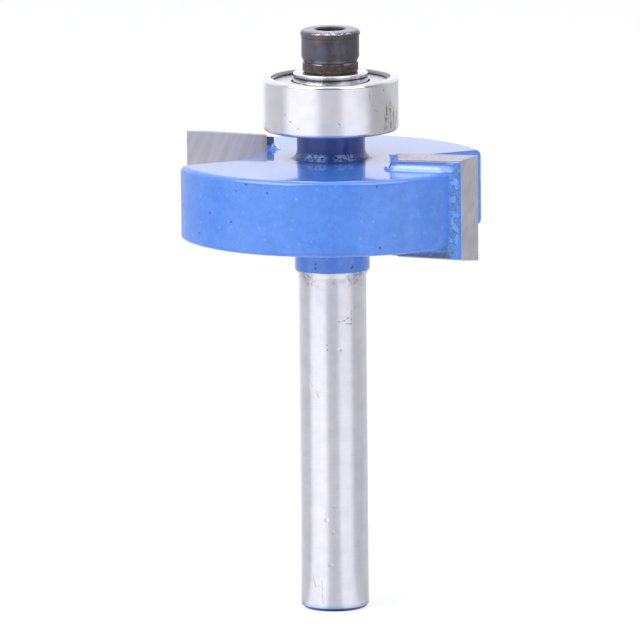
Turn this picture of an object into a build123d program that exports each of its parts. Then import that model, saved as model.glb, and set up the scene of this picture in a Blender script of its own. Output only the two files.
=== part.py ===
from build123d import *
from math import acos, asin, cos, degrees, pi, radians, sin, sqrt, tan
import os

# A bearing-guided rabbeting bit for a router, standing on the flat end of its shank.
# Lengths are in millimetres and angles in degrees. The origin is on the tool's axis at the
# shank's end, +Z runs up the axis to the screw, and both cutting faces are parallel to XZ.
# Seen from above the tool turns counter-clockwise.

# Shank and the thicker collar that joins it to the disc
shank_diameter = 6.35
shank_length = 31.7
shank_end_chamfer = 0.3
collar_diameter = 7.08
collar_chamfer = 0.6
collar_length = 3.9

# Disc, which the two chip gullets turn into two lobes
rim_diameter = 29.2
disc_thickness = 7.1
rim_rounding = 0.5
gullet_wall_offset = 7.0
gullet_corner_offset = 2.85
gullet_back_angle = 45.0
gullet_fillet = 2.0

# Carbide tips, brazed into pockets in the body
tooth_count = 2
cutting_diameter = 31.75
cutting_face_offset = 3.76
tip_thickness = 2.0
tip_height = 9.9
tip_inner_offset = 7.5
end_relief_angle = 7.0
dish_angle = 1.0
radial_clearance_angle = 14.5
inner_end_slant = 22.0

# Steel web behind each tip and post at its inner end
web_thickness = 0.35
post_width = 0.7
web_set_back = 0.12
web_fillet = 0.7

# Neck and pilot spigot that carry the bearing
neck_diameter = 6.4
neck_height = 2.7
neck_fillet = 0.8
spigot_clearance = 0.012
spigot_set_back = 0.2
spigot_chamfer = 0.2

# Shielded ball bearing
bearing_bore = 4.762
bearing_outer_diameter = 12.7
bearing_width = 4.978
bearing_corner = 0.35
bore_corner = 0.15
ball_count = 7
ball_diameter = 2.381
ball_sides = 12
raceway_play = 0.05
shoulder_height = 0.42
shield_seat_depth = 0.62
shield_seat_step = 0.4
shield_thickness = 0.25
shield_play = 0.15
shield_rim_clearance = 0.02
snap_wire_diameter = 0.26
snap_wire_gap = 50.0
cage_strip_thickness = 0.2
cage_play = 0.07
cage_width = 0.8

# Washers and the screw that hold the bearing on
flat_washer_outer_diameter = 7.0
flat_washer_bore = 3.2
flat_washer_thickness = 0.5
flat_washer_edge = 0.1
spring_washer_outer_diameter = 5.2
spring_washer_bore = 3.1
spring_washer_thickness = 1.0
spring_washer_edge = 0.15
spring_washer_slot = 0.25
spring_washer_slot_angle = 30.0
spring_washer_slot_turn = 150.0
thread_diameter = 3.0
thread_clearance = 0.02
thread_length = 8.0
thread_end_chamfer = 0.35
tapped_depth = 7.6
drill_point_angle = 118.0
head_diameter = 5.42
head_lip_diameter = 5.6
head_lip_height = 0.65
head_height = 3.0
head_top_rounding = 0.4
head_foot_chamfer = 0.2
head_foot_chamfer_height = 0.45
hex_across_flats = 2.5
hex_depth = 1.6
hex_mouth_chamfer = 0.12
hex_turn = -12.6

# Heights along the axis
disc_bottom = shank_length + collar_length
disc_top = disc_bottom + disc_thickness
disc_middle = (disc_bottom + disc_top) / 2
bearing_bottom = disc_top + neck_height
bearing_middle = bearing_bottom + bearing_width / 2
bearing_top = bearing_bottom + bearing_width
spring_washer_bottom = bearing_top + flat_washer_thickness
head_bottom = spring_washer_bottom + spring_washer_thickness
head_top = head_bottom + head_height

# Radii and offsets that follow from the sizes above
shank_radius = shank_diameter / 2
collar_radius = collar_diameter / 2
rim_radius = rim_diameter / 2
cutting_radius = cutting_diameter / 2
neck_radius = neck_diameter / 2
bore_radius = bearing_bore / 2
spigot_radius = bore_radius - spigot_clearance
ring_radius = bearing_outer_diameter / 2
ball_radius = ball_diameter / 2
pitch_radius = (bore_radius + ring_radius) / 2
raceway_radius = ball_radius + raceway_play
inner_land_radius = pitch_radius - raceway_radius + shoulder_height
outer_land_radius = pitch_radius + raceway_radius - shoulder_height
shield_seat_radius = outer_land_radius + shield_seat_step
thread_radius = thread_diameter / 2
tapped_radius = thread_radius + thread_clearance

# The cutting edge stands on the cutting circle, in the plane of the cutting face. The outer end
# falls back from the circle's tangent there by the clearance angle.
tip_outer_offset = sqrt(cutting_radius**2 - cutting_face_offset**2)
outer_end_slope = tan(asin(cutting_face_offset / cutting_radius) + radians(radial_clearance_angle))
tip_back_offset = cutting_face_offset + tip_thickness
web_back_offset = tip_back_offset + web_thickness
post_inner_offset = tip_inner_offset - post_width
reach = cutting_diameter

# Small turned roundings follow their arcs in this many straight steps to a quarter turn.
steps_to_quarter = 3


def around_axis(shape, count=tooth_count):
    """Copies of a shape, evenly turned about the tool's axis."""
    return [Rot(0, 0, 360 * number / count) * shape for number in range(count)]


def turned(points):
    """A solid of revolution from (radius, height) points."""
    return revolve(make_face(Plane.XZ * Polyline(*points, close=True)), Axis.Z)


def arc_steps(centre, radius, first, last):
    """Points along an arc in a half section, from one angle to another."""
    count = max(1, round(steps_to_quarter * abs(last - first) / 90))
    angles = [radians(first + (last - first) * step / count) for step in range(count + 1)]
    return [(centre[0] + radius * cos(angle), centre[1] + radius * sin(angle)) for angle in angles]


def outer_corner(radius, height, rounding, side):
    """Points up the rounded outer corner at a turned piece's upper (side 1) or lower (side -1) end."""
    centre = (radius - rounding, height - side * rounding)
    return arc_steps(centre, rounding, min(0, 90 * side), max(0, 90 * side))


def end_land(side, set_back=0.0):
    """The ground plane at a tip's upper (side 1) or lower (side -1) end, facing outwards."""
    corner = (tip_outer_offset, -cutting_face_offset, disc_middle + side * (tip_height / 2 - set_back))
    outwards = (-tan(radians(dish_angle)), -tan(radians(end_relief_angle)), side)
    return Plane(origin=corner, z_dir=outwards)


def grind_ends(blank, set_back=0.0):
    """Cuts a tall blank down to both end lands."""
    for side in (1, -1):
        blank = split(blank, bisect_by=end_land(side, set_back), keep=Keep.BOTTOM)
    return blank


def tall(outline, height=2 * tip_height):
    """An outline in plan, raised well past both ends of the tips."""
    return extrude(Pos(0, 0, disc_middle - height / 2) * outline, height)


def outer_end_at(offset):
    """How far out the tooth's outer end lies at a given offset behind the tool's middle plane."""
    return tip_outer_offset - (offset - cutting_face_offset) * outer_end_slope


def inner_end_at(offset, inner_offset):
    """How far out a slanted inner end lies at a given offset behind the tool's middle plane."""
    return inner_offset + (offset - cutting_face_offset) * tan(radians(inner_end_slant))


def carbide_tip():
    """One plate, with its cutting face, two end lands and outer land ground flat."""
    outline = make_face(Polyline(
        (tip_inner_offset, -cutting_face_offset),
        (tip_outer_offset, -cutting_face_offset),
        (outer_end_at(tip_back_offset), -tip_back_offset),
        (inner_end_at(tip_back_offset, tip_inner_offset), -tip_back_offset),
        close=True,
    ))
    return grind_ends(tall(outline))


def rim_space(cove):
    """The space inside the rim, which closes in at 45 degrees along the rim's two roundings."""
    graze = (2 - sqrt(2)) * rim_rounding
    return turned([
        (0, disc_bottom - cove),
        (rim_radius - graze - cove, disc_bottom - cove),
        (rim_radius, disc_bottom + graze),
        (rim_radius, disc_top - graze),
        (rim_radius - graze - cove, disc_top + cove),
        (0, disc_top + cove),
    ])


def tooth_backing():
    """The ridge of steel that a tip is brazed to, with coves down to the disc's two faces."""
    footprint = make_face(Polyline(
        (post_inner_offset, -cutting_face_offset),
        (tip_outer_offset, -cutting_face_offset),
        (outer_end_at(web_back_offset), -web_back_offset),
        (inner_end_at(web_back_offset, post_inner_offset), -web_back_offset),
        close=True,
    ))
    ridge = grind_ends(tall(footprint), web_set_back)
    slab = Pos(0, 0, disc_middle) * Box(2 * reach, 2 * reach, disc_thickness)
    stand = slab + ridge
    cove = min(web_fillet, 0.9 * ((tip_height - disc_thickness) / 2 - web_set_back))
    stand = fillet(new_edges(slab, ridge, combined=stand), cove)
    # Only the coves close to the ridge are kept, and they end at the rim's roundings.
    near = make_face(Polyline(
        (post_inner_offset - cove, -cutting_face_offset + cove),
        (reach, -cutting_face_offset + cove),
        (reach, -web_back_offset - cove),
        (post_inner_offset - cove, -web_back_offset - cove),
        close=True,
    ))
    return (stand & tall(near) & rim_space(cove)) + ridge


def gullet():
    """The chip space in front of one cutting face, and the pocket that its tip sits in."""
    run = rim_diameter
    corner = (gullet_wall_offset, gullet_corner_offset)
    far = (gullet_wall_offset + run * sin(radians(gullet_back_angle)),
           gullet_corner_offset + run * cos(radians(gullet_back_angle)))
    outline = make_face(Polyline(
        (gullet_wall_offset, -cutting_face_offset),
        corner,
        far,
        (far[0], -cutting_face_offset),
        close=True,
    ))
    outline = fillet(outline.vertices().sort_by_distance((*corner, 0))[0], gullet_fillet)
    pocket = make_face(Polyline(
        (inner_end_at(tip_back_offset, tip_inner_offset), -tip_back_offset),
        (reach, -tip_back_offset),
        (reach, -cutting_face_offset),
        (tip_inner_offset, -cutting_face_offset),
        close=True,
    ))
    return tall(outline) + tall(pocket)


def body_stem():
    """Everything on the body that is turned about the axis, apart from the disc."""
    cove_centre = (neck_radius + neck_fillet, disc_top + neck_fillet)
    return turned([
        (0, 0),
        (shank_radius - shank_end_chamfer, 0),
        (shank_radius, shank_end_chamfer),
        (shank_radius, shank_length),
        (collar_radius, shank_length + collar_chamfer),
        (collar_radius, disc_middle),
        (neck_radius + neck_fillet, disc_middle),
        *arc_steps(cove_centre, neck_fillet, 270, 180),
        (neck_radius, bearing_bottom),
        (spigot_radius, bearing_bottom),
        (spigot_radius, bearing_top - spigot_set_back - spigot_chamfer),
        (spigot_radius - spigot_chamfer, bearing_top - spigot_set_back),
        (0, bearing_top - spigot_set_back),
    ])


def tapped_hole():
    """The screw's hole down the spigot and neck, with the cone that the drill leaves."""
    mouth = bearing_top - spigot_set_back
    bottom = mouth - tapped_depth
    point = bottom - tapped_radius / tan(radians(drill_point_angle / 2))
    return turned([(0, point), (tapped_radius, bottom), (tapped_radius, mouth), (0, mouth)])


def cutter_body():
    """Shank, collar, lobed disc, tooth backings, neck and spigot, all one piece of steel."""
    disc = turned([
        (0, disc_bottom),
        *outer_corner(rim_radius, disc_bottom, rim_rounding, -1),
        *outer_corner(rim_radius, disc_top, rim_rounding, 1),
        (0, disc_top),
    ])
    for backing in around_axis(tooth_backing()):
        disc += backing
    for space in around_axis(gullet()):
        disc -= space
    return disc + body_stem() - tapped_hole()


def groove(side):
    """Points up the raceway of the outer (side 1) or inner (side -1) ring, between its two lands."""
    lip = degrees(acos((raceway_radius - shoulder_height) / raceway_radius))
    middle = (pitch_radius, bearing_middle)
    if side > 0:
        return arc_steps(middle, raceway_radius, -lip, lip)
    return arc_steps(middle, raceway_radius, 180 + lip, 180 - lip)


def bearing_inner_ring():
    return turned([
        (inner_land_radius, bearing_bottom),
        *groove(-1),
        (inner_land_radius, bearing_top),
        (bore_radius + bore_corner, bearing_top),
        (bore_radius, bearing_top - bore_corner),
        (bore_radius, bearing_bottom + bore_corner),
        (bore_radius + bore_corner, bearing_bottom),
    ])


def bearing_outer_ring():
    """The ring that rolls along the work, stepped at both faces to hold the shields."""
    return turned([
        *outer_corner(ring_radius, bearing_bottom, bearing_corner, -1),
        *outer_corner(ring_radius, bearing_top, bearing_corner, 1),
        (shield_seat_radius, bearing_top),
        (shield_seat_radius, bearing_top - shield_seat_depth),
        (outer_land_radius, bearing_top - shield_seat_depth),
        *reversed(groove(1)),
        (outer_land_radius, bearing_bottom + shield_seat_depth),
        (shield_seat_radius, bearing_bottom + shield_seat_depth),
        (shield_seat_radius, bearing_bottom),
    ])


def on_side(shape, side):
    """Turns a shape over the bearing's middle plane for the lower side."""
    return shape if side > 0 else mirror(shape, about=Plane.XY.offset(bearing_middle))


def bearing_shield(side):
    """A flat disc that sits on the outer ring's step and clears the inner ring."""
    seat = bearing_top - shield_seat_depth
    inner = inner_land_radius + shield_play
    outer = shield_seat_radius - shield_rim_clearance
    shield = turned([
        (inner, seat),
        (outer, seat),
        (outer, seat + shield_thickness),
        (inner, seat + shield_thickness),
    ])
    return on_side(shield, side)


def shield_snap_ring(side):
    """The open ring of six-sided wire that holds a shield down on its step."""
    wire_radius = snap_wire_diameter / 2
    centre = shield_seat_radius - shield_rim_clearance - wire_radius
    height = bearing_top - shield_seat_depth + shield_thickness + wire_radius
    wire = Plane.XZ * Pos(centre, height) * RegularPolygon(wire_radius, 6, rotation=90)
    return on_side(revolve(wire, Axis.Z, 360 - snap_wire_gap), side)


def ball_places():
    """Where each ball stands on the pitch circle, with X pointing away from the axis."""
    return [Rot(0, 0, 360 * number / ball_count) * Pos(pitch_radius, 0, bearing_middle)
            for number in range(ball_count)]


def bearing_ball():
    """A sealed-in ball, faceted to lie just inside the true one."""
    turns = [360 * side / ball_sides for side in range(ball_sides)]
    rings = [[Vector(radius, 0, height).rotate(Axis.Z, turn) for turn in turns]
             for radius, height in arc_steps((0, 0), ball_radius, -75, 75)]
    outlines = [rings[0], rings[-1]]
    for low, high in zip(rings, rings[1:]):
        outlines += [(low[side - 1], low[side], high[side], high[side - 1]) for side in range(ball_sides)]
    return Solid(Shell([Face(Wire.make_polygon(outline)) for outline in outlines]))


def eight_sided(radius, length):
    """An eight-sided bar along X, with its sides at the given radius."""
    return extrude(Plane.YZ * RegularPolygon(radius, 8, major_radius=False), length / 2, both=True)


def bearing_cage():
    """A riveted ribbon cage: flat strip between the balls, bent round each of them on eight sides."""
    pocket_radius = ball_radius + cage_play
    strip = RegularPolygon(pitch_radius + cage_width / 2, 2 * ball_count)
    strip -= RegularPolygon(pitch_radius - cage_width / 2, 2 * ball_count)
    cage = Pos(0, 0, bearing_middle) * extrude(strip, cage_strip_thickness, both=True)
    for place in ball_places():
        cage += place * eight_sided(pocket_radius + cage_strip_thickness, cage_width)
    for place in ball_places():
        cage -= place * eight_sided(pocket_radius, 2 * cage_width)
    return cage


def flat_washer():
    inner = flat_washer_bore / 2
    outer = flat_washer_outer_diameter / 2
    top = bearing_top + flat_washer_thickness
    return turned([
        (inner, bearing_top),
        (outer, bearing_top),
        (outer, top - flat_washer_edge),
        (outer - flat_washer_edge, top),
        (inner, top),
    ])


def spring_washer():
    """A split lock washer, pressed flat, with its slot cut on a slant."""
    inner = spring_washer_bore / 2
    outer = spring_washer_outer_diameter / 2
    washer = turned([
        (inner, spring_washer_bottom),
        (outer - spring_washer_edge, spring_washer_bottom),
        (outer, spring_washer_bottom + spring_washer_edge),
        (outer, head_bottom - spring_washer_edge),
        (outer - spring_washer_edge, head_bottom),
        (inner, head_bottom),
    ])
    slot = extrude(Plane.YZ * Rectangle(spring_washer_slot, 4 * spring_washer_thickness), reach)
    slot = Pos(0, 0, (spring_washer_bottom + head_bottom) / 2) * Rot(spring_washer_slot_angle, 0, 0) * slot
    return washer - Rot(0, 0, spring_washer_slot_turn) * slot


def cap_screw():
    """Socket head cap screw, with its thread as a plain cylinder of the thread's size."""
    head_radius = head_diameter / 2
    blank = turned([
        (0, head_bottom - thread_length),
        (thread_radius - thread_end_chamfer, head_bottom - thread_length),
        (thread_radius, head_bottom - thread_length + thread_end_chamfer),
        (thread_radius, head_bottom),
        (head_radius - head_foot_chamfer, head_bottom),
        (head_radius, head_bottom + head_foot_chamfer_height),
        (head_radius, head_top - head_lip_height),
        *outer_corner(head_lip_diameter / 2, head_top, head_top_rounding, 1),
        (0, head_top),
    ])
    socket_outline = RegularPolygon(hex_across_flats / 2, 6, major_radius=False, rotation=hex_turn)
    socket = extrude(Pos(0, 0, head_top) * socket_outline, -hex_depth)
    across_corners = hex_across_flats / cos(pi / 6)
    mouth = turned([
        (0, head_top),
        (across_corners / 2 + hex_mouth_chamfer / 2, head_top),
        (across_corners / 2 - hex_mouth_chamfer / 2, head_top - hex_mouth_chamfer),
        (0, head_top - hex_mouth_chamfer),
    ])
    return blank - socket - mouth


def all_pieces():
    """Every piece of the tool, under the name of its node."""
    pieces = {"cutter_body": cutter_body()}
    for number, tip in enumerate(around_axis(carbide_tip()), start=1):
        pieces[f"carbide_tip_{number}"] = tip
    pieces["bearing_inner_ring"] = bearing_inner_ring()
    pieces["bearing_outer_ring"] = bearing_outer_ring()
    for name, side in (("upper", 1), ("lower", -1)):
        pieces[f"bearing_shield_{name}"] = bearing_shield(side)
        pieces[f"shield_snap_ring_{name}"] = shield_snap_ring(side)
    pieces["bearing_cage"] = bearing_cage()
    for number, place in enumerate(ball_places(), start=1):
        pieces[f"bearing_ball_{number}"] = place * bearing_ball()
    pieces["flat_washer"] = flat_washer()
    pieces["spring_washer"] = spring_washer()
    pieces["cap_screw"] = cap_screw()
    return pieces


os.makedirs("parts", exist_ok=True)
for node, piece in all_pieces().items():
    export_step(piece, f"parts/{node}.step")
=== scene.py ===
# Looks of the router bit. Lengths are millimetres in the part's own frame: the origin is at the
# shank's end and +Z runs up the axis. Angles in the room are counted from the camera, minus to the left.

from math import cos, pi, radians, sin

import bpy
from mathutils import Matrix, Vector
from mathutils.geometry import intersect_line_plane


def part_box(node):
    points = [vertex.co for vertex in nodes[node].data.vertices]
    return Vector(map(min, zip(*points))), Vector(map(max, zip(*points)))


MM = 0.001
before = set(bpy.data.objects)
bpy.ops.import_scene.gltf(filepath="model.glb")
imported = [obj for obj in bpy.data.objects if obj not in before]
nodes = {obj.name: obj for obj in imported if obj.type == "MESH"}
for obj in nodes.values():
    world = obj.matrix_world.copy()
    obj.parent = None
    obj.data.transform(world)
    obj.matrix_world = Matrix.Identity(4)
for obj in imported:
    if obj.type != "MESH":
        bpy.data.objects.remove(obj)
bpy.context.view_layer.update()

# Sizes of the part that the looks follow
shank_radius = 3.175
shank_top = 31.7
collar_radius = 3.54
paint_edge = 32.23
disc_top = 42.7
rim_radius = 14.6
neck_radius = 3.2
tip_inner_end = 7.5
tip_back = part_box("carbide_tip_1")[0].y / MM
bearing_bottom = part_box("bearing_outer_ring")[0].z / MM
bearing_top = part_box("bearing_outer_ring")[1].z / MM
bearing_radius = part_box("bearing_outer_ring")[1].x / MM
washer_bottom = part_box("flat_washer")[0].z / MM
head_radius = 2.8
head_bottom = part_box("spring_washer")[1].z / MM
head_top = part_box("cap_screw")[1].z / MM

# The camera, from the photograph
camera_azimuth = 17.4
camera_elevation = 9.85
camera_roll = 0.53
camera_distance = 1000.0
camera_lens = 600.0
sensor_width = 36.0
image_width = 640
aim_left_of_axis = 1.19
aim_height = 27.3

up = Vector((0.0, 0.0, 1.0))
to_camera = Vector((sin(radians(camera_azimuth)), -cos(radians(camera_azimuth)), 0.0))
to_right = Vector((cos(radians(camera_azimuth)), sin(radians(camera_azimuth)), 0.0))


def add_camera():
    """The photograph's camera. Returns where it stands."""
    target = -aim_left_of_axis * to_right + aim_height * up
    lift = radians(camera_elevation)
    away = to_camera * cos(lift) + up * sin(lift)
    data = bpy.data.cameras.new("camera")
    data.sensor_width = sensor_width
    data.lens = camera_lens
    camera = bpy.data.objects.new("camera", data)
    bpy.context.scene.collection.objects.link(camera)
    look = (-away).to_track_quat("-Z", "Y").to_matrix().to_4x4()
    spot = Matrix.Translation((target + away * camera_distance) * MM)
    camera.matrix_world = spot @ look @ Matrix.Rotation(radians(-camera_roll), 4, "Z")
    bpy.context.scene.camera = camera
    return camera.matrix_world.copy()


camera_matrix = add_camera()


def sight(pixel):
    """The line of sight through a pixel of the photograph: where it starts and its direction."""
    start = camera_matrix.translation / MM
    aside = (pixel[0] - image_width / 2) / image_width * sensor_width
    above = (image_width / 2 - pixel[1]) / image_width * sensor_width
    return start, (camera_matrix.to_3x3() @ Vector((aside, above, -camera_lens))).normalized()


def on_cylinder(pixel, radius):
    """Where a pixel falls on the near side of a cylinder about the axis."""
    start, ahead = sight(pixel)
    a = ahead.xy.length_squared
    b = start.xy.dot(ahead.xy)
    c = start.xy.length_squared - radius**2
    return start + ahead * (-b - max(b * b - a * c, 0.0) ** 0.5) / a


def on_shank(pixel):
    return on_cylinder(pixel, shank_radius)


def on_bearing(pixel):
    return on_cylinder(pixel, bearing_radius)


def on_head(pixel):
    return on_cylinder(pixel, head_radius)


def on_plane(pixel, point, facing):
    """Where a pixel falls on a plane."""
    start, ahead = sight(pixel)
    return intersect_line_plane(start, start + ahead, Vector(point), Vector(facing))


def on_back_wall(pixel):
    """Where a pixel falls on the back of the right tooth, with the depth left out."""
    spot = on_plane(pixel, (0.0, tip_back, 0.0), (0.0, 1.0, 0.0))
    return Vector((spot.x, 0.0, spot.z))


def on_cove(pixel):
    """Where a pixel falls half-way up the cove in front of the right tooth."""
    return on_plane(pixel, (0.0, 0.0, disc_top + 0.3), up)


def lines_on(place_of, lines):
    """Lines between pixels, laid on the part by one of the functions above."""
    return [[place_of(pixel) for pixel in line] for line in lines]


def as_colour(value):
    """A number as a grey, and a colour as it is."""
    return (value,) * 3 if isinstance(value, (int, float)) else value


class Graph:
    """Writes shader nodes. A value is a number, a colour or another node's output."""

    def __init__(self, tree):
        self.tree = tree
        tree.nodes.clear()

    def feed(self, socket, value):
        if isinstance(value, bpy.types.NodeSocket):
            self.tree.links.new(value, socket)
        elif socket.type == "RGBA":
            socket.default_value = (*as_colour(value), 1.0)
        else:
            socket.default_value = value

    def add(self, kind, settings=None, **inputs):
        made = self.tree.nodes.new(kind)
        for name, value in (settings or {}).items():
            setattr(made, name, value)
        for name, value in inputs.items():
            self.feed(made.inputs[name.replace("_", " ")], value)
        return made

    def math(self, operation, *values):
        made = self.add("ShaderNodeMath", {"operation": operation})
        for socket, value in zip(made.inputs, values):
            self.feed(socket, value)
        return made.outputs[0]

    def vector(self, operation, first, second=(0.0, 0.0, 0.0)):
        made = self.add("ShaderNodeVectorMath", {"operation": operation})
        self.feed(made.inputs[0], first)
        self.feed(made.inputs[1], second)
        return made.outputs["Value" if operation in ("DOT_PRODUCT", "LENGTH", "DISTANCE") else "Vector"]

    def scaled(self, vector, factors):
        return self.vector("MULTIPLY", vector, factors)

    def grown(self, vector, factor):
        """A vector times a value that may vary."""
        made = self.add("ShaderNodeVectorMath", {"operation": "SCALE"}, Scale=factor)
        self.feed(made.inputs[0], vector)
        return made.outputs["Vector"]

    def parts(self, vector):
        return self.add("ShaderNodeSeparateXYZ", None, Vector=vector).outputs

    def from_axis(self, place):
        """How far a place lies from the part's axis."""
        return self.vector("LENGTH", self.scaled(place, (1.0, 1.0, 0.0)))

    def ramp(self, value, stops, blend="EASE"):
        """A colour that changes along a value, from (place, colour) stops."""
        made = self.add("ShaderNodeValToRGB", Fac=value)
        made.color_ramp.interpolation = blend
        elements = made.color_ramp.elements
        while len(elements) < len(stops):
            elements.new(1.0)
        for element, (place, colour) in zip(elements, stops):
            element.position = place
            element.color = (*as_colour(colour), 1.0)
        return made.outputs["Color"]

    def rise(self, value, low, high):
        """0 at low, 1 at high and smooth between. With low above high it falls."""
        settings = {"interpolation_type": "SMOOTHSTEP"}
        made = self.add("ShaderNodeMapRange", settings, Value=value, From_Min=low, From_Max=high)
        return made.outputs["Result"]

    def spread(self, value, low, high):
        """A 0 to 1 value laid out between two others."""
        return self.add("ShaderNodeMapRange", None, Value=value, To_Min=low, To_Max=high).outputs["Result"]

    def both(self, *values):
        """The product of some masks."""
        product = values[0]
        for value in values[1:]:
            product = self.math("MULTIPLY", product, value)
        return product

    def most(self, *values):
        """The largest of some masks."""
        largest = values[0]
        for value in values[1:]:
            largest = self.math("MAXIMUM", largest, value)
        return largest

    def between(self, value, low, high, soft):
        """1 from low to high, with edges about this soft."""
        return self.both(self.rise(value, low - soft, low + soft), self.rise(value, high + soft, high - soft))

    def mix(self, factor, first, second, blend="MIX"):
        made = self.add("ShaderNodeMix", {"data_type": "RGBA", "blend_type": blend})
        sockets = [socket for socket in made.inputs if socket.enabled]
        for socket, value in zip(sockets, (factor, first, second)):
            self.feed(socket, value)
        return next(socket for socket in made.outputs if socket.enabled)

    def shaded(self, tone, value, low, high):
        """A colour times a 0 to 1 value laid out between two factors."""
        return self.mix(1.0, tone, self.spread(value, low, high), "MULTIPLY")

    def noise(self, place, grain, detail=2.0, rough=0.5, output="Fac"):
        """Soft random values about 0.5, with grains about this wide."""
        made = self.add("ShaderNodeTexNoise", None, Vector=place, Scale=1.0 / grain,
                        Detail=detail, Roughness=rough)
        return made.outputs[output]

    def drawn(self, place, factors, detail=3.0, rough=0.6):
        """Random values drawn out along the directions with the smaller factors."""
        return self.noise(self.scaled(place, factors), 1.0, detail, rough)

    def wobble(self, place, grain, reach):
        """Places pushed about at random by up to about this far."""
        colour = self.noise(place, grain, 2.0, 0.5, "Color")
        push = self.vector("SUBTRACT", colour, (0.5, 0.5, 0.5))
        return self.vector("ADD", place, self.scaled(push, (2 * reach,) * 3))

    def scatter(self, place, spacing, size, share):
        """Spots of about this size, in this share of a loose grid of places."""
        cells = self.add("ShaderNodeTexVoronoi", None, Vector=place, Scale=1.0 / spacing)
        chance = self.parts(cells.outputs["Color"])[0]
        near = self.rise(cells.outputs["Distance"], size / spacing, 0.3 * size / spacing)
        return self.both(near, self.math("LESS_THAN", chance, share))

    def spots(self, place, centres, size):
        """1 at these points, and 0 this far from them."""
        away = [self.vector("DISTANCE", place, tuple(centre)) for centre in centres]
        nearest = away[0]
        for distance in away[1:]:
            nearest = self.math("MINIMUM", nearest, distance)
        return self.rise(nearest, size, 0.25 * size)

    def strokes(self, place, lines, width):
        """1 along these straight lines, and 0 this far to the side."""
        marks = []
        for start, end in lines:
            along = Vector(end) - Vector(start)
            offset = self.vector("SUBTRACT", place, tuple(start))
            share = self.vector("DOT_PRODUCT", offset, tuple(along / along.length_squared))
            share = self.math("MINIMUM", self.math("MAXIMUM", share, 0.0), 1.0)
            foot = self.grown(tuple(along), share)
            marks.append(self.rise(self.vector("DISTANCE", offset, foot), width, 0.2 * width))
        return self.most(*marks)

    def bump(self, height, depth, below=None):
        """Normals of a height map whose 1 stands this many millimetres out."""
        made = self.add("ShaderNodeBump", None, Height=height, Distance=depth * MM, Strength=1.0)
        if below is not None:
            self.feed(made.inputs["Normal"], below)
        return made.outputs["Normal"]


def new_finish(name):
    """A new material: its graph, places in millimetres, and its one Principled shader's inputs."""
    material = bpy.data.materials.new(name)
    material.use_nodes = True
    graph = Graph(material.node_tree)
    place = graph.scaled(graph.add("ShaderNodeTexCoord").outputs["Object"], (1 / MM,) * 3)
    shader = graph.add("ShaderNodeBsdfPrincipled")
    output = graph.add("ShaderNodeOutputMaterial")
    graph.feed(output.inputs["Surface"], shader.outputs["BSDF"])
    return material, graph, place, shader.inputs


def make_metal(graph, inputs, tone, roughness, anisotropic):
    """Bare metal, its highlights drawn out across grinding marks that run round the axis."""
    graph.feed(inputs["Base Color"], tone)
    inputs["Metallic"].default_value = 1.0
    inputs["Roughness"].default_value = roughness
    inputs["Anisotropic"].default_value = anisotropic
    inputs["Anisotropic Rotation"].default_value = 0.25
    tangent = graph.add("ShaderNodeTangent", {"direction_type": "RADIAL", "axis": "Z"})
    graph.feed(inputs["Tangent"], tangent.outputs[0])


# Marks on the shank that the photograph shows, as pixels in it
shank_dents = ((334.7, 506), (306.5, 521), (359, 519), (333, 532.5), (330.8, 565), (326.4, 520),
               (318.5, 585), (340, 350))
shank_nicks = (((337.5, 322), (344.5, 320.5)), ((344.5, 320.5), (349, 317.5)), ((351.5, 311), (351.5, 319)),
               ((353, 311), (356.5, 305.5)), ((308, 379.5), (312.5, 387)), ((347, 323.5), (351.5, 323.5)))
shank_scratches = (((322, 580), (323, 603)), ((306.5, 386), (308.5, 390)), ((316, 391), (319, 398)),
                   ((313, 577), (316.5, 588)))
shank_specks = ((344.4, 320.8), (347.5, 318.2), (351.5, 319.5), (350.6, 323.5), (326.4, 345.5), (327.3, 350))
collar_stains = ((305, 275), (309, 278), (357, 274), (352, 277))

# Colours of the shank
ground_dark = (0.845, 0.845, 0.92)
ground_light = (0.915, 0.915, 0.98)
nick_grey = (0.20, 0.19, 0.20)
stain_brown = (0.36, 0.32, 0.31)
end_haze = (0.52, 0.68, 0.90)
end_blue = (0.035, 0.075, 0.32)

# Where the shank's stained ring and its blue end line start, and where they are full
ring_heights = (shank_top - 1.2, shank_top - 0.5)
end_line_radii = (2.55, 2.75)
end_haze_heights = (0.75, 0.3)
end_blue_heights = (0.36, 0.24)


def stain_marks(graph, place):
    """Brown stains in two places where the collar meets the shank."""
    centres = [on_shank(pixel) for pixel in collar_stains]
    near = graph.spots(graph.wobble(place, 0.5, 0.35), centres, 1.0)
    return graph.both(near, graph.rise(graph.noise(place, 0.3, 4.0, 0.7), 0.4, 0.6), 0.8)


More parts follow.
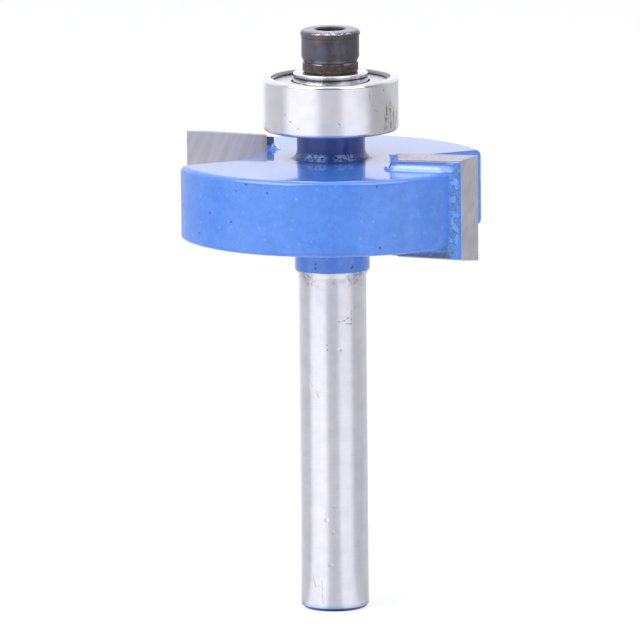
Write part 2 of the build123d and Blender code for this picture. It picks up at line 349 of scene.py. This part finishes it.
def shank_finish():
    """Ground steel, dented and stained, with a blue line round its end chamfer."""
    material, graph, place, inputs = new_finish("ground_steel")
    height = graph.parts(place)["Z"]
    marks = graph.drawn(place, (0.35, 0.35, 9.0))
    streaks = graph.drawn(place, (3.0, 3.0, 0.12))
    clouds = graph.noise(place, 1.6, 4.0, 0.6)
    loose = graph.wobble(place, 0.35, 0.12)

    dents = graph.spots(loose, [on_shank(pixel) for pixel in shank_dents], 0.24)
    nicks = graph.strokes(loose, lines_on(on_shank, shank_nicks), 0.075)
    nicks = graph.both(nicks, graph.spread(graph.noise(place, 0.2), 0.3, 1.2))
    scratches = graph.strokes(loose, lines_on(on_shank, shank_scratches), 0.05)
    specks = graph.spots(loose, [on_shank(pixel) for pixel in shank_specks], 0.12)
    chips = graph.scatter(loose, 2.3, 0.16, 0.16)

    tone = graph.ramp(clouds, ((0.3, ground_dark), (0.7, ground_light)))
    tone = graph.shaded(tone, marks, 0.95, 1.05)
    tone = graph.shaded(tone, streaks, 0.93, 1.07)
    darkened = graph.most(graph.both(nicks, 0.5), graph.both(specks, 0.7), graph.both(scratches, 0.2))
    tone = graph.mix(darkened, tone, nick_grey)
    broken = graph.rise(graph.noise(place, 0.5, 4.0, 0.7), 0.5, 0.65)
    ring = graph.both(graph.rise(height, *ring_heights), broken, 0.4)
    tone = graph.mix(graph.most(stain_marks(graph, place), ring), tone, stain_brown)
    outside = graph.rise(graph.from_axis(place), *end_line_radii)
    tone = graph.mix(graph.both(graph.rise(height, *end_haze_heights), outside), tone, end_haze)
    tone = graph.mix(graph.both(graph.rise(height, *end_blue_heights), outside), tone, end_blue)
    make_metal(graph, inputs, tone, roughness=0.30, anisotropic=0.75)

    normal = graph.bump(marks, 0.0012)
    normal = graph.bump(graph.most(dents, graph.both(chips, 0.5), nicks, scratches), -0.025, normal)
    graph.feed(inputs["Normal"], normal)
    return material


# Marks in the paint, as pixels in the photograph
rim_pits = ((246, 184.5), (236, 191), (210, 213), (231, 222), (199, 233), (267, 193), (380, 248),
            (184, 205), (377, 187))
collar_pits = ((315.5, 264), (315.5, 268.5), (351.5, 268), (352.5, 266.5))
cove_shine = (((399, 169.5), (446, 171.5)),)
neck_shine = ((312, 157), (320, 158), (341, 158.5), (348, 158))
braze_runs = (((455, 165), (458, 176)), ((456, 180), (454.5, 196)), ((455, 200), (455, 208)),
              ((456, 216), (455, 236)), ((454, 240), (451, 253)))
lower_wall = (((400, 257.5), (446, 257)),)

# Colours of the paint
paint_dark = (0.054, 0.214, 0.73)
paint_light = (0.070, 0.238, 0.78)
fleck_blue = (0.16, 0.42, 0.90)
painted_neck_shade_blue = (0.003, 0.030, 0.21)
post_shade_blue = (0.009, 0.024, 0.10)
braze_cyan = (0.14, 0.42, 0.80)
braze_teal = (0.05, 0.19, 0.34)
braze_line = (0.010, 0.040, 0.10)
painted_strip_shade = (0.012, 0.050, 0.26)
lower_wall_dark = (0.024, 0.050, 0.075)
painted_highlight_blue = (0.50, 0.68, 0.92)
pit_blue = (0.008, 0.030, 0.16)
bare_line = (0.88, 0.84, 0.89)

# Places on the painted body: heights, radii, and the teeth's directions across and in depth
disc_top_edge = (disc_top - 0.05, disc_top + 0.1)
neck_shade_radii = (5.1, 4.1)
post_heights = (disc_top + 0.2, disc_top + 0.4)
post_across = (-8.4, -5.4)
post_depths = (2.6, 2.9)
tooth_across = (5.0, 6.0)
tooth_depths = (0.5, 0.2)
strip_shade_heights = (disc_top + 0.82, disc_top + 1.1)
strip_shade_across = (tip_inner_end, 13.6)
strip_shade_radii = (rim_radius, rim_radius - 0.4)
cove_heights = (disc_top + 0.06, disc_top + 0.62)
foot_heights = (disc_top + 0.12, disc_top + 0.75)
foot_radii = (4.5, 4.1)
turned_heights = (disc_top - 0.2, disc_top - 0.05)


def paint_finish():
    """Gloss blue paint with orange peel, flecks and pits, painted shade round the neck, painted highlights,
    and rough by the braze.
    """
    material, graph, place, inputs = new_finish("blue_paint")
    across, depth, height = graph.parts(place)
    radius = graph.from_axis(place)
    clouds = graph.noise(place, 2.4, 3.0, 0.55)
    peel = graph.noise(place, 0.42, 2.0, 0.5)
    grain = graph.noise(place, 0.16, 3.0, 0.65)
    patches = graph.noise(place, 0.6, 4.0, 0.75)
    broken = graph.noise(place, 0.28, 3.0, 0.7)
    loose = graph.wobble(place, 0.2, 0.08)

    # The plain paint, its pale flecks and its pits
    flecks = graph.scatter(graph.wobble(place, 0.25, 0.16), 0.55, 0.19, 0.5)
    centres = [on_cylinder(pixel, rim_radius) for pixel in rim_pits]
    centres += [on_cylinder(pixel, collar_radius) for pixel in collar_pits]
    pits = graph.most(graph.spots(loose, centres, 0.17), graph.scatter(loose, 2.1, 0.10, 0.22))
    blue = graph.ramp(clouds, ((0.3, paint_dark), (0.7, paint_light)))
    blue = graph.shaded(blue, grain, 0.82, 1.18)
    blue = graph.shaded(blue, patches, 0.80, 1.20)
    blue = graph.mix(graph.both(flecks, graph.rise(patches, 0.45, 0.6), 0.5), blue, fleck_blue)

    # Painted shade: darker round the neck and on the disc's top beside it, under the bearing, and on the post
    # at the left tip
    painted_neck_shade = graph.both(graph.rise(height, *disc_top_edge), graph.rise(radius, *neck_shade_radii))
    blue = graph.mix(graph.both(painted_neck_shade, 0.78), blue, painted_neck_shade_blue)
    post = graph.both(graph.rise(height, *post_heights), graph.between(across, *post_across, 0.1),
                      graph.rise(depth, *post_depths))
    blue = graph.mix(graph.both(post, 0.85), blue, post_shade_blue)

    # The right tooth: swirls beside the braze, a painted shade under its strip, and darker along its lower
    # wall
    tooth = graph.both(graph.rise(depth, *tooth_depths), graph.rise(across, *tooth_across))
    front = graph.wobble(graph.scaled(place, (1.0, 0.0, 1.0)), 0.35, 0.14)
    rough = graph.both(graph.strokes(front, lines_on(on_back_wall, braze_runs), 0.75), tooth)
    swirls = graph.noise(graph.wobble(place, 0.5, 0.3), 0.75, 2.0, 0.5)
    off_line = graph.math("ABSOLUTE", graph.math("SUBTRACT", swirls, 0.5))
    blue = graph.mix(graph.both(rough, graph.rise(swirls, 0.48, 0.40), 0.55), blue, braze_cyan)
    blue = graph.mix(graph.both(rough, graph.rise(swirls, 0.52, 0.60), 0.55), blue, braze_teal)
    blue = graph.mix(graph.both(rough, graph.rise(off_line, 0.045, 0.005), 0.65), blue, braze_line)
    under_strip = graph.both(graph.between(height, *strip_shade_heights, 0.06), tooth,
                             graph.between(across, *strip_shade_across, 0.3),
                             graph.rise(radius, *strip_shade_radii))
    blue = graph.mix(graph.both(under_strip, graph.spread(broken, 0.2, 0.9)), blue, painted_strip_shade)
    lower_wall_darkening = graph.strokes(front, lines_on(on_back_wall, lower_wall), 0.8)
    lower_wall_darkening = graph.both(lower_wall_darkening, tooth, graph.rise(broken, 0.3, 0.5))
    blue = graph.mix(graph.both(lower_wall_darkening, 0.9), blue, lower_wall_dark)

    # Painted highlights: pale glints in the right tooth's cove and at the foot of the neck
    in_cove = graph.between(height, *cove_heights, 0.05)
    near = graph.rise(graph.strokes(loose, lines_on(on_cove, cove_shine), 1.3), 0.05, 0.25)
    foot = graph.both(graph.between(height, *foot_heights, 0.06), graph.rise(radius, *foot_radii))
    centres = [on_cylinder(pixel, neck_radius) for pixel in neck_shine]
    glints = graph.spots(graph.wobble(place, 0.4, 0.25), centres, 1.05)
    glints = graph.both(glints, graph.rise(broken, 0.40, 0.56))
    shine = graph.most(graph.both(near, in_cove), graph.both(foot, glints))
    blue = graph.mix(graph.both(shine, graph.spread(broken, 0.35, 0.95)), blue, painted_highlight_blue)
    blue = graph.mix(graph.both(pits, 0.85), blue, pit_blue)

    # Bare steel shows below the paint's uneven lower edge
    uneven = graph.math("ADD", height, graph.spread(clouds, -0.12, 0.12))
    painted = graph.rise(uneven, paint_edge - 0.04, paint_edge + 0.04)
    bare = graph.mix(stain_marks(graph, place), bare_line, stain_brown)
    graph.feed(inputs["Base Color"], graph.mix(painted, bare, blue))
    graph.feed(inputs["Metallic"], graph.math("SUBTRACT", 1.0, painted))
    graph.feed(inputs["Roughness"], graph.spread(painted, 0.3, 0.24))
    graph.feed(inputs["Coat Weight"], graph.both(painted, graph.spread(painted_neck_shade, 1.0, 0.45)))
    inputs["Coat Roughness"].default_value = 0.05
    inputs["Coat IOR"].default_value = 1.5

    # Turning marks on the disc's top, orange peel, flecks and pits, and rough places
    outward = graph.add("ShaderNodeCombineXYZ", None, X=radius).outputs[0]
    turned = graph.both(graph.noise(outward, 0.35, 3.0, 0.6), graph.rise(height, *turned_heights))
    normal = graph.bump(turned, 0.0016)
    normal = graph.bump(peel, 0.0035, normal)
    normal = graph.bump(graph.math("SUBTRACT", graph.both(flecks, 0.3), pits), 0.03, normal)
    lumps = graph.most(graph.both(rough, swirls), graph.both(foot, broken))
    graph.feed(inputs["Normal"], graph.bump(lumps, 0.14, normal))
    return material


# Colours of the carbide, and how its grinding marks slant
carbide_dark = (0.475, 0.46, 0.51)
carbide_light = (0.545, 0.53, 0.58)
braze_brown = (0.30, 0.24, 0.20)
grinding_slant = 68.0


def carbide_finish():
    """Fine-ground tungsten carbide with slanting lighter streaks, painted lighter on the +X tip, brown from
    the braze at its inner end.
    """
    material, graph, place, inputs = new_finish("ground_carbide")
    across = graph.parts(place)["X"]
    slant = graph.add("ShaderNodeMapping", None, Vector=place)
    slant.inputs["Rotation"].default_value = (0.0, radians(grinding_slant), 0.0)
    streaks = graph.drawn(slant.outputs[0], (0.22, 1.0, 2.6), 3.0, 0.55)
    grain = graph.noise(place, 0.12, 3.0, 0.6)
    clouds = graph.noise(place, 2.2, 2.0, 0.5)
    tone = graph.ramp(streaks, ((0.3, carbide_dark), (0.7, carbide_light)))
    tone = graph.shaded(tone, clouds, 0.92, 1.08)
    tone = graph.shaded(tone, grain, 0.93, 1.07)
    # Painted light: the tip on the +X side is made lighter and the other a little darker
    tone = graph.shaded(tone, graph.rise(across, -1.0, 1.0), 0.95, 1.12)
    inner = graph.rise(graph.math("ABSOLUTE", across), tip_inner_end + 0.7, tip_inner_end + 0.05)
    tone = graph.mix(graph.both(inner, 0.55), tone, braze_brown)
    graph.feed(inputs["Base Color"], tone)
    inputs["Metallic"].default_value = 0.8
    graph.feed(inputs["Roughness"], graph.spread(streaks, 0.44, 0.54))
    graph.feed(inputs["Normal"], graph.bump(grain, 0.0015))
    return material


# Marks on the bearing, as pixels in the photograph
bearing_darker_spots = ((374, 96), (379, 108), (382, 122))
bearing_specks = ((268, 129), (298, 129), (285, 115), (290, 122), (339, 124))
bearing_scratch = (((369, 91), (370.5, 101)), ((370.5, 101), (375, 111)), ((375, 111), (379, 112)))
smear_strokes = (((387, 106), (386, 130)), ((390, 103), (391, 128)), ((393.5, 108), (394, 131)),
                 ((396.5, 112), (395.5, 127)))

# Colours of the bearing, and where its low edge and its top rounding begin and are full
bearing_dark = (0.91, 0.905, 0.955)
bearing_light = (0.965, 0.96, 1.0)
darker_grey = (0.60, 0.60, 0.615)
oil_brown = (0.40, 0.37, 0.27)
scratch_grey = (0.10, 0.10, 0.10)
low_edge_tan = (0.76, 0.70, 0.64)
low_edge_heights = (bearing_bottom + 0.45, bearing_bottom + 0.15)
top_rounding_heights = (bearing_top - 0.45, bearing_top - 0.25)
ground_roughness = 0.24
polished_roughness = 0.12


def ring_finish():
    """Ground and polished bearing steel, scratched, with an oily smear near its right edge and darker patches
    beside it.
    """
    material, graph, place, inputs = new_finish("bearing_steel_ground")
    height = graph.parts(place)["Z"]
    marks = graph.drawn(place, (0.25, 0.25, 12.0))
    clouds = graph.noise(place, 1.4, 4.0, 0.6)
    loose = graph.wobble(place, 0.4, 0.12)

    specks = graph.spots(loose, [on_bearing(pixel) for pixel in bearing_specks], 0.14)
    specks = graph.most(specks, graph.scatter(loose, 1.9, 0.11, 0.2))
    scratch = graph.strokes(loose, lines_on(on_bearing, bearing_scratch), 0.06)
    lines = lines_on(on_bearing, smear_strokes)
    smear = graph.strokes(graph.wobble(place, 0.5, 0.3), lines, 0.42)
    smear = graph.both(smear, graph.rise(graph.noise(place, 0.3, 3.0, 0.7), 0.38, 0.6))
    cuts = graph.strokes(graph.wobble(place, 0.7, 0.2), lines, 0.10)
    cuts = graph.both(cuts, graph.rise(graph.noise(place, 0.45, 2.0, 0.6), 0.42, 0.55))
    darker_spots = graph.spots(graph.wobble(place, 1.0, 0.5), [on_bearing(pixel) for pixel in bearing_darker_spots], 2.6)

    tone = graph.ramp(clouds, ((0.3, bearing_dark), (0.7, bearing_light)))
    tone = graph.shaded(tone, marks, 0.965, 1.035)
    # Darker patches near the bearing's right edge
    tone = graph.mix(graph.both(darker_spots, graph.spread(clouds, 0.3, 0.75)), tone, darker_grey)
    tone = graph.mix(graph.both(smear, 0.7), tone, oil_brown)
    darkened = graph.most(graph.both(specks, 0.5), graph.both(scratch, 0.45), graph.both(cuts, 0.8))
    tone = graph.mix(darkened, tone, scratch_grey)
    tone = graph.mix(graph.rise(height, *low_edge_heights), tone, low_edge_tan)
    make_metal(graph, inputs, tone, ground_roughness, anisotropic=0.7)
    polished = graph.rise(height, *top_rounding_heights)
    graph.feed(inputs["Roughness"], graph.spread(polished, ground_roughness, polished_roughness))

    normal = graph.bump(marks, 0.0008)
    graph.feed(inputs["Normal"], graph.bump(graph.most(specks, scratch, cuts), -0.02, normal))
    return material


# Colours of the shields, the wire rings and the flat washer, and how high the painted shadow at its foot
# reaches
sheet_grey = (0.83, 0.83, 0.87)
wire_grey = (0.30, 0.30, 0.32)
zinc_white = (0.93, 0.93, 0.95)
shadow_grey = (0.07, 0.07, 0.075)
washer_shadow = washer_bottom + 0.12
turning_depth = 0.02


def bright_finish(name, colour, roughness, streaks, dark_below=0.0):
    """Plain bright steel with faint turning marks, and a painted shadow below a height."""
    material, graph, place, inputs = new_finish(name)
    height = graph.parts(place)["Z"]
    round_marks = graph.drawn(place, (0.4, 0.4, 10.0))
    upright_marks = graph.drawn(place, (5.0, 5.0, 0.2), 2.0)
    tone = graph.shaded(colour, round_marks, 0.96, 1.04)
    tone = graph.shaded(tone, upright_marks, 1.0 - streaks, 1.0 + streaks)
    tone = graph.mix(graph.rise(height, dark_below + 0.05, dark_below - 0.02), tone, shadow_grey)
    make_metal(graph, inputs, tone, roughness, anisotropic=0.6)
    graph.feed(inputs["Normal"], graph.bump(upright_marks, turning_depth * streaks))
    return material


# Places on the screw's head, as pixels in the photograph
blue_patch = (320, 54)
brown_patch = (317, 41)
sheen_patches = ((305, 40), (305, 52))
worn_front = (331, 33)
worn_front_radius = 2.4

# Colours of the screw, and where the parts of its head begin and are full
oxide_dark = (0.042, 0.038, 0.050)
oxide_light = (0.068, 0.062, 0.080)
painted_sheen_grey = (0.13, 0.125, 0.155)
head_patch_blue = (0.075, 0.095, 0.15)
oxide_brown = (0.17, 0.11, 0.09)
lip_grey = (0.13, 0.115, 0.14)
flat_grey = (0.34, 0.32, 0.39)
worn_steel = (0.80, 0.77, 0.82)
groove_black = (0.02, 0.018, 0.024)
lip_heights = (head_top - 0.34, head_top - 0.16)
flat_heights = (head_top - 0.12, head_top - 0.03)
groove_heights = (head_top - 0.74, head_top - 0.62)
off_socket_radii = (1.45, 1.6)


def screw_finish():
    """Black oxide with a painted highlight on the head's left, blue in one patch and brown in another, worn
    bright round the head's top edge.
    """
    material, graph, place, inputs = new_finish("screw_oxide")
    height = graph.parts(place)["Z"]
    clouds = graph.noise(place, 0.9, 3.0, 0.6)
    grain = graph.noise(place, 0.13, 3.0, 0.65)
    patches = graph.noise(place, 0.4, 4.0, 0.75)
    tone = graph.ramp(clouds, ((0.35, oxide_dark), (0.65, oxide_light)))
    tone = graph.shaded(tone, grain, 0.75, 1.25)
    # Painted highlight: a lighter sheen on the left of the head
    sheen = graph.spots(place, [on_head(pixel) for pixel in sheen_patches], 1.5)
    blue = graph.spots(place, [on_head(blue_patch)], 1.1)
    brown = graph.spots(place, [on_head(brown_patch)], 0.7)
    tone = graph.mix(graph.both(sheen, 0.6), tone, painted_sheen_grey)
    tone = graph.mix(graph.both(blue, 0.6), tone, head_patch_blue)
    tone = graph.mix(graph.both(brown, 0.6), tone, oxide_brown)

    off_socket = graph.rise(graph.from_axis(place), *off_socket_radii)
    lip = graph.both(graph.rise(height, *lip_heights), off_socket)
    flat = graph.both(graph.rise(height, *flat_heights), off_socket)
    front = graph.spots(place, [on_cylinder(worn_front, worn_front_radius)], 1.6)
    worn = graph.both(lip, graph.rise(graph.math("ADD", patches, graph.both(front, 0.09)), 0.58, 0.66))
    tone = graph.mix(graph.both(lip, 0.8), tone, lip_grey)
    tone = graph.mix(graph.both(flat, graph.spread(patches, 0.5, 1.2)), tone, flat_grey)
    tone = graph.mix(graph.both(worn, 0.9), tone, worn_steel)
    groove = graph.between(height, *groove_heights, 0.04)
    tone = graph.mix(graph.both(groove, 0.6), tone, groove_black)
    graph.feed(inputs["Base Color"], tone)
    graph.feed(inputs["Metallic"], graph.spread(worn, 0.25, 1.0))
    graph.feed(inputs["Roughness"], graph.spread(grain, 0.22, 0.38))
    inputs["IOR"].default_value = 1.65
    graph.feed(inputs["Normal"], graph.bump(grain, 0.003))
    return material


# Colours of the lock washer, and where its rubbed edge begins and is full
scale_dark = (0.040, 0.028, 0.030)
scale_light = (0.10, 0.072, 0.070)
rubbed_steel = (0.55, 0.50, 0.50)
rubbed_heights = (head_bottom - 0.2, head_bottom - 0.06)


def spring_finish():
    """Brown-black scale on the lock washer, rubbed pale along its upper edge."""
    material, graph, place, inputs = new_finish("spring_oxide")
    height = graph.parts(place)["Z"]
    clouds = graph.noise(place, 0.5, 3.0, 0.6)
    grain = graph.noise(place, 0.12, 4.0, 0.7)
    tone = graph.ramp(clouds, ((0.35, scale_dark), (0.65, scale_light)))
    tone = graph.shaded(tone, grain, 0.6, 1.4)
    rubbed = graph.rise(height, *rubbed_heights)
    rubbed = graph.both(rubbed, graph.rise(graph.noise(place, 1.3, 2.0, 0.5), 0.5, 0.62))
    tone = graph.mix(graph.both(rubbed, 0.8), tone, rubbed_steel)
    graph.feed(inputs["Base Color"], tone)
    graph.feed(inputs["Metallic"], graph.spread(rubbed, 0.2, 0.9))
    graph.feed(inputs["Roughness"], graph.spread(grain, 0.35, 0.6))
    graph.feed(inputs["Normal"], graph.bump(grain, 0.008))
    return material


# How edges are rounded
crisp_angle = radians(35.0)
flat_angle = radians(0.5)
weld_distance = 0.001
rounding_steps = 3
body_rounding = 0.10
small_rounding = 0.03


def geometry_group(name):
    """An empty geometry group, the socket that geometry comes from and the one that it goes to."""
    group = bpy.data.node_groups.new(name, "GeometryNodeTree")
    group.interface.new_socket("Geometry", in_out="INPUT", socket_type="NodeSocketGeometry")
    group.interface.new_socket("Geometry", in_out="OUTPUT", socket_type="NodeSocketGeometry")
    start = group.nodes.new("NodeGroupInput")
    end = group.nodes.new("NodeGroupOutput")
    return group, start.outputs[0], end.inputs[0]


def smoothing_group():
    """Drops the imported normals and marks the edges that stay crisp."""
    group, start, end = geometry_group("mark_crisp_edges")
    make, link = group.nodes.new, group.links.new
    drop = make("GeometryNodeRemoveAttribute")
    drop.inputs["Name"].default_value = "custom_normal"
    smooth = make("GeometryNodeSetShadeSmooth")
    angle = make("GeometryNodeInputMeshEdgeAngle")
    sharper = make("FunctionNodeCompare")
    sharper.inputs[1].default_value = crisp_angle
    mark = make("GeometryNodeStoreNamedAttribute")
    mark.data_type = "BOOLEAN"
    mark.domain = "EDGE"
    mark.inputs["Name"].default_value = "sharp_edge"
    link(start, drop.inputs["Geometry"])
    link(drop.outputs["Geometry"], smooth.inputs["Geometry"])
    link(smooth.outputs["Geometry"], mark.inputs["Geometry"])
    link(angle.outputs["Unsigned Angle"], sharper.inputs[0])
    link(sharper.outputs[0], mark.inputs["Value"])
    link(mark.outputs["Geometry"], end)
    return group


def below_group(name, height, material):
    """Gives every face below a height this material."""
    group, start, end = geometry_group(name)
    make, link = group.nodes.new, group.links.new
    place = make("GeometryNodeInputPosition")
    split = make("ShaderNodeSeparateXYZ")
    lower = make("FunctionNodeCompare")
    lower.operation = "LESS_THAN"
    lower.inputs[1].default_value = height * MM
    change = make("GeometryNodeSetMaterial")
    change.inputs["Material"].default_value = material
    link(place.outputs[0], split.inputs[0])
    link(split.outputs["Z"], lower.inputs[0])
    link(start, change.inputs["Geometry"])
    link(lower.outputs[0], change.inputs["Selection"])
    link(change.outputs["Geometry"], end)
    return group


crisp_edges = smoothing_group()


def round_off(piece, width):
    """Joins a piece's faces up again and rounds its sharp edges by a small width, as modifiers."""
    weld = piece.modifiers.new("join_faces", "WELD")
    weld.merge_threshold = weld_distance * MM
    clear = piece.modifiers.new("drop_normals", "NODES")
    clear.node_group = crisp_edges
    flat = piece.modifiers.new("merge_flats", "DECIMATE")
    flat.decimate_type = "DISSOLVE"
    flat.angle_limit = flat_angle
    if width:
        bevel = piece.modifiers.new("round_edges", "BEVEL")
        bevel.limit_method = "ANGLE"
        bevel.angle_limit = crisp_angle
        bevel.width = width * MM
        bevel.segments = rounding_steps
    crisp = piece.modifiers.new("crisp_edges", "NODES")
    crisp.node_group = crisp_edges
    weighted = piece.modifiers.new("even_normals", "WEIGHTED_NORMAL")
    weighted.keep_sharp = True


paint = paint_finish()
ground_steel = shank_finish()
bearing_steel = ring_finish()
sheet_steel = bright_finish("shield_steel", sheet_grey, roughness=0.26, streaks=0.03)
wire_steel = bright_finish("wire_steel", wire_grey, roughness=0.3, streaks=0.03)
zinc = bright_finish("bright_zinc", zinc_white, roughness=0.2, streaks=0.35, dark_below=washer_shadow)
tip_carbide = carbide_finish()
screw_oxide = screw_finish()
spring_oxide = spring_finish()

finishes = {
    "cutter_body": (paint, body_rounding),
    "carbide_tip_1": (tip_carbide, small_rounding),
    "carbide_tip_2": (tip_carbide, small_rounding),
    "bearing_inner_ring": (bearing_steel, 0.0),
    "bearing_outer_ring": (bearing_steel, 0.0),
    "bearing_shield_upper": (sheet_steel, 0.0),
    "bearing_shield_lower": (sheet_steel, 0.0),
    "shield_snap_ring_upper": (wire_steel, 0.0),
    "shield_snap_ring_lower": (wire_steel, 0.0),
    "bearing_cage": (sheet_steel, 0.0),
    "flat_washer": (zinc, small_rounding),
    "spring_washer": (spring_oxide, small_rounding),
    "cap_screw": (screw_oxide, small_rounding),
}
for ball in range(1, 8):
    finishes[f"bearing_ball_{ball}"] = (bearing_steel, 0.0)
for node, (material, width) in finishes.items():
    nodes[node].data.materials.clear()
    nodes[node].data.materials.append(material)
    round_off(nodes[node], width)

# The shank is bare steel, so the body has a second material below this height
bare_below = shank_top + 0.02
body = nodes["cutter_body"]
body.data.materials.append(ground_steel)
bare = body.modifiers.new("bare_shank", "NODES")
bare.node_group = below_group("bare_shank", bare_below, ground_steel)

# How bright the backdrop is in the steel at each angle from the camera, on its floor and on its walls
floor_levels = ((-180, 1.00), (-158, 0.95), (-136, 0.63), (-90, 0.53), (-74, 1.00), (-26, 1.00),
                (-14, 0.65), (14, 0.65), (24, 0.95), (60, 0.92), (74, 0.54), (112, 0.53), (135, 0.58),
                (160, 0.64), (180, 1.00))
wall_levels = ((-180, 1.00), (-140, 1.00), (-115, 0.80), (-80, 0.60), (-70, 0.62), (-30, 0.62),
               (-22, 0.22), (16, 0.20), (24, 0.48), (60, 0.48), (68, 0.30), (115, 0.62), (145, 0.90),
               (180, 1.00))
white = (1.0, 1.0, 1.0)
room_tint = (0.97, 0.97, 1.0)
horizon_rise = (-0.03, 0.05)
overhead_rise = (0.6, 0.85)
overhead_light = 1.25
lamp_distance = 450.0
floor_width = 1600.0
floor_white = 0.95
floor_glow_share = 0.75
floor_light_share = 0.70


def around(graph, way, levels):
    """Levels laid out by a direction's angle from the camera, as a colour."""
    ahead = graph.vector("DOT_PRODUCT", way, tuple(to_camera))
    aside = graph.vector("DOT_PRODUCT", way, tuple(to_right))
    turn = graph.math("MULTIPLY_ADD", graph.math("ARCTAN2", aside, ahead), 1 / (2 * pi), 0.5)
    shades = graph.ramp(turn, [((angle + 180.0) / 360.0, level) for angle, level in levels], "LINEAR")
    return graph.mix(1.0, shades, room_tint, "MULTIPLY")


def seen_plainly(graph):
    """Which rays see the white backdrop: 1 for the camera, mirrors and glass. Then the mirrors alone."""
    rays = graph.add("ShaderNodeLightPath").outputs
    mirrored = rays["Is Glossy Ray"]
    return graph.most(rays["Is Camera Ray"], mirrored, rays["Is Transmission Ray"]), mirrored


def studio():
    """A white backdrop, which steel shows with a darker floor and camera side, and soft light."""
    world = bpy.data.worlds.new("studio")
    bpy.context.scene.world = world
    world.use_nodes = True
    graph = Graph(world.node_tree)
    way = graph.add("ShaderNodeTexCoord").outputs["Generated"]
    height = graph.parts(way)["Z"]
    floor_side = around(graph, way, floor_levels)
    wall_side = around(graph, way, wall_levels)
    sides = graph.mix(graph.rise(height, *horizon_rise), floor_side, wall_side)
    overhead = graph.rise(height, *overhead_rise)
    room = graph.mix(overhead, sides, room_tint)
    seen, mirrored = seen_plainly(graph)
    shown = graph.mix(mirrored, white, room)
    backdrop = graph.add("ShaderNodeBackground", None, Color=shown, Strength=1.0)
    brightness = graph.spread(overhead, 1.0, overhead_light)
    light = graph.add("ShaderNodeBackground", None, Color=room, Strength=brightness)
    either = graph.add("ShaderNodeMixShader", None, Fac=seen)
    graph.feed(either.inputs[1], light.outputs[0])
    graph.feed(either.inputs[2], backdrop.outputs[0])
    output = graph.add("ShaderNodeOutputWorld")
    graph.feed(output.inputs["Surface"], either.outputs[0])


def soft_box(name, turn, lift, width, height, level):
    """A soft box round from the camera and up from the floor by these angles."""
    data = bpy.data.lights.new(name, "AREA")
    data.shape = "RECTANGLE"
    data.size = width * MM
    data.size_y = height * MM
    data.energy = level * pi * data.size * data.size_y
    data.color = room_tint
    lamp = bpy.data.objects.new(name, data)
    bpy.context.scene.collection.objects.link(lamp)
    level_way = to_camera * cos(radians(turn)) + to_right * sin(radians(turn))
    way = level_way * cos(radians(lift)) + up * sin(radians(lift))
    lamp.location = (way * lamp_distance + up * disc_top) * MM
    lamp.rotation_euler = way.to_track_quat("Z", "Y").to_euler()
    lamp.visible_camera = False


def add_floor():
    """A white floor that keeps a faint shadow of the tool and is clear from below."""
    bpy.ops.mesh.primitive_plane_add(size=floor_width * MM)
    ground = bpy.context.object
    ground.name = "floor"
    material = bpy.data.materials.new("floor_white")
    material.use_nodes = True
    graph = Graph(material.node_tree)
    seen, mirrored = seen_plainly(graph)
    way = graph.add("ShaderNodeTexCoord").outputs["Object"]
    shade = graph.mix(mirrored, white, around(graph, way, floor_levels))
    matt_colour = graph.mix(1.0, shade, floor_white, "MULTIPLY")
    matt = graph.add("ShaderNodeBsdfDiffuse", None, Color=matt_colour)
    glow = graph.add("ShaderNodeEmission", None, Color=shade, Strength=1.0)
    glow_share = graph.spread(seen, floor_light_share, floor_glow_share)
    either = graph.add("ShaderNodeMixShader", None, Fac=glow_share)
    graph.feed(either.inputs[1], matt.outputs[0])
    graph.feed(either.inputs[2], glow.outputs[0])
    from_below = graph.add("ShaderNodeNewGeometry").outputs["Backfacing"]
    one_sided = graph.add("ShaderNodeMixShader", None, Fac=from_below)
    graph.feed(one_sided.inputs[1], either.outputs[0])
    graph.feed(one_sided.inputs[2], graph.add("ShaderNodeBsdfTransparent").outputs[0])
    output = graph.add("ShaderNodeOutputMaterial")
    graph.feed(output.inputs["Surface"], one_sided.outputs[0])
    ground.data.materials.append(material)


studio()
soft_box("left_soft_box", turn=-56, lift=43, width=380, height=300, level=3.5)
soft_box("right_soft_box", turn=45, lift=45, width=270, height=300, level=2.1)
add_floor()

bpy.context.scene.view_settings.view_transform = "Standard"
